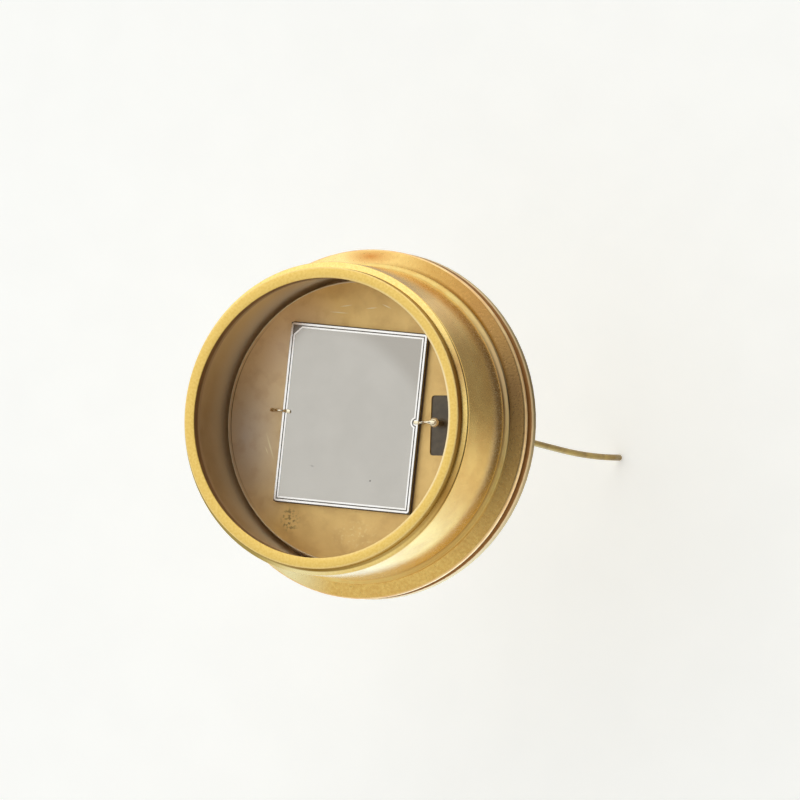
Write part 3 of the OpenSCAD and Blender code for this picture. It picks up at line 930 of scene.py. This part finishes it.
# %% [markdown]
# ## Leads
# The signal lead ends in a small upset head, painted a pale cream, a painted highlight, round a dark centre,
# a painted reflection. Its neck takes the dark sealing glass, as painted shade under the head. The bent lead
# has facets too, so a merged copy is shaded smooth, and its faces take head, neck or wire by their height.
# The case lead is straight and keeps the frame's mesh.

# %% Leads
PIN_TOP = (3.74, 0.0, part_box("signal_lead")[1].z / MM)
PIN_DARK_CENTRE = (0.12, 0.12, 0.2)
HEAD_Z = 2.7
NECK_Z = 2.0

pin_gold, tree, place = blank("bright gold plate, pin head")
# painted highlight in the pale cream tone, and a painted dark reflection at the centre
tone = two_tone(tree, place, "#fbeecb", "#f2deb0", cloud_mm=0.2)
dark_centre = zone(tree, spot(tree, place, PIN_TOP, PIN_DARK_CENTRE), low=0.0, blur=0.4)
tone = stain(tree, tone, "#8d7448", dark_centre)
satin(tree, place, tone, grain_mm=0.05, grain_um=0.5, gloss=(0.2, 0.3), metal=0.55)

lead = merged("signal_lead")
cut(lead, NECK_Z * MM * axis, axis)
for face in lead.faces:
    middle = face.calc_center_median().z / MM
    face.material_index = (middle > NECK_Z) + (middle > HEAD_Z)
# painted shade: the neck below the head takes the dark sealing glass
piece("drawn_signal_lead", lead, [lead_gold, sealing_glass, pin_gold], "lead_gold", "signal_lead")
dress("case_lead", lead_gold)

# %% [markdown]
# ## Floor
# The part stands on its lead tips over a plain pale floor. The floor should look white without throwing more
# light on the part, so its own glow is switched on only for rays from the camera and for reflections, and
# the soft shadow under the part stays.

# %% Floor
FLOOR_HALF = 500 * MM
GLOW = 0.295

paper, tree, place = blank("pale paper")
rays = add(tree, "LightPath").outputs
seen = rays["Is Camera Ray"]
for kind in ("Is Glossy Ray", "Is Transmission Ray"):
    seen = add(tree, "Math", {0: seen, 1: rays[kind]}, operation="MAXIMUM").outputs["Value"]
shader = add(tree, "BsdfPrincipled", {
    "Base Color": two_tone(tree, place, "#f5f6f3", "#f3f4f1", cloud_mm=2.0),
    "Roughness": 1.0, "Specular IOR Level": 0.0,
    "Emission Color": linear("#f9faf7"), "Emission Strength": overlap(tree, seen, GLOW),
})
add(tree, "OutputMaterial", {"Surface": shader.outputs["BSDF"]})

sheet = bmesh.new()
bmesh.ops.create_grid(sheet, x_segments=1, y_segments=1, size=FLOOR_HALF)
bmesh.ops.translate(sheet, verts=sheet.verts, vec=(0, 0, cad_low.z))
floor = object_of("floor", sheet, [paper])
print("floor at", round(cad_low.z / MM, 2), "mm")

# %% [markdown]
# ## World
# Satin metal shows its shape only if its surroundings change. The sky is a soft white dome, brighter behind
# the part, with a wide dim patch on the camera's side, as in any studio where the camera stands in the dark.
# The patch is drawn by the angle between a direction and the middle of the patch.

# %% World
DIM_WAY = (0.70 * near_side + 0.30 * cross_side + 0.65 * axis).normalized()
DIM_INNER = math.cos(math.radians(25))
DIM_OUTER = math.cos(math.radians(60))
DIM_LEVEL = 0.12
FRONT_LEVEL = 0.78
BACK_LEVEL = 1.25
TURNOVER = 0.4

world = bpy.data.worlds.new("soft studio")
world.use_nodes = True
tree = world.node_tree
tree.nodes.clear()
way = add(tree, "TexCoord").outputs["Generated"]
behind = add(tree, "VectorMath", {0: way, 1: cross_side}, operation="DOT_PRODUCT").outputs["Value"]
dome = add(tree, "MapRange", {
    "Value": behind, "From Min": -TURNOVER, "From Max": TURNOVER,
    "To Min": FRONT_LEVEL, "To Max": BACK_LEVEL,
}, interpolation_type="SMOOTHSTEP").outputs["Result"]
nearness = add(tree, "VectorMath", {0: way, 1: DIM_WAY}, operation="DOT_PRODUCT").outputs["Value"]
dimming = add(tree, "MapRange", {
    "Value": nearness, "From Min": DIM_OUTER, "From Max": DIM_INNER,
    "To Min": 1.0, "To Max": DIM_LEVEL,
}, interpolation_type="SMOOTHSTEP").outputs["Result"]
sky = add(tree, "Background", {"Color": linear("#ffffff"), "Strength": overlap(tree, dome, dimming)})
add(tree, "OutputWorld", {"Surface": sky.outputs["Background"]})
bpy.context.scene.world = world
print("world:", len(tree.nodes), "nodes")

# %% [markdown]
# ## Lamp
# One softbox stands behind the part and gives its upward faces their light. A sun would do the same with a
# hard shadow, but the lip should only throw a faint soft one across the die. Its level is the brightness of
# its face, and its power follows from that and its size.

# %% Lamp
KEY_WAY = (0.1 * near_side + 0.6 * cross_side + 0.79 * axis).normalized()
KEY_DISTANCE = 250 * MM
KEY_SIZE = 120 * MM
KEY_LEVEL = 0.8

lamp = bpy.data.lights.new("key", "AREA")
lamp.size = KEY_SIZE
lamp.energy = KEY_LEVEL * math.pi * KEY_SIZE ** 2
key = bpy.data.objects.new("key", lamp)
key.matrix_world = KEY_WAY.to_track_quat("Z", "Y").to_matrix().to_4x4()
key.location = KEY_DISTANCE * KEY_WAY
key.visible_camera = False
bpy.context.scene.collection.objects.link(key)
print("key lamp", round(KEY_DISTANCE / MM), "mm away")

# %% [markdown]
# ## Cards
# The wall of the can mirrors the floor beside the part, so its light and dark stripes are drawn with round
# cards that lie on the floor. Real cards would show in the picture and tint the floor, so these have soft
# edges and are seen in reflections only: felt for the dark side, brown paper for the top and cool daylight
# for the highlight.

# %% Cards
CARD_LIFT = 0.2 * MM
CARD_EDGE = 0.7
CARD_CORNERS = 64


def card(name, along_mm, across_mm, radius_mm, cover, surface, inputs):
    """A round card on the floor with a soft edge, seen in reflections only."""
    radius = radius_mm * MM
    centre = MM * (along_mm * near_side + across_mm * cross_side) + (cad_low.z + CARD_LIFT) * axis
    material, tree, place = blank(name)
    spread = add(tree, "VectorMath", {0: place, 1: centre}, operation="DISTANCE").outputs["Value"]
    round_edge = zone(tree, spread, high=radius, blur=CARD_EDGE * radius)
    clear = add(tree, "BsdfTransparent").outputs["BSDF"]
    shown = add(tree, surface, inputs).outputs[0]
    mixed = add(tree, "MixShader", {0: overlap(tree, round_edge, cover), 1: clear, 2: shown})
    add(tree, "OutputMaterial", {"Surface": mixed.outputs["Shader"]})

    disc = bmesh.new()
    bmesh.ops.create_circle(disc, cap_ends=True, segments=CARD_CORNERS, radius=radius)
    bmesh.ops.translate(disc, verts=disc.verts, vec=centre)
    made = object_of(name, disc, [material])
    made.visible_camera = False
    made.visible_diffuse = False
    made.visible_shadow = False
    made.visible_transmission = False
    print(name, radius_mm, "mm")


card("dark felt card", 13, 9, 15, 0.7, "BsdfDiffuse", {"Color": linear("#3a332a")})
card("brown paper card", -5, 12, 10, 0.5, "BsdfDiffuse", {"Color": linear("#5a4a2e")})
card("daylight card", 1.7, -13.1, 14.7, 1.0, "Emission", {"Color": linear("#d2eaff"), "Strength": 2.0})
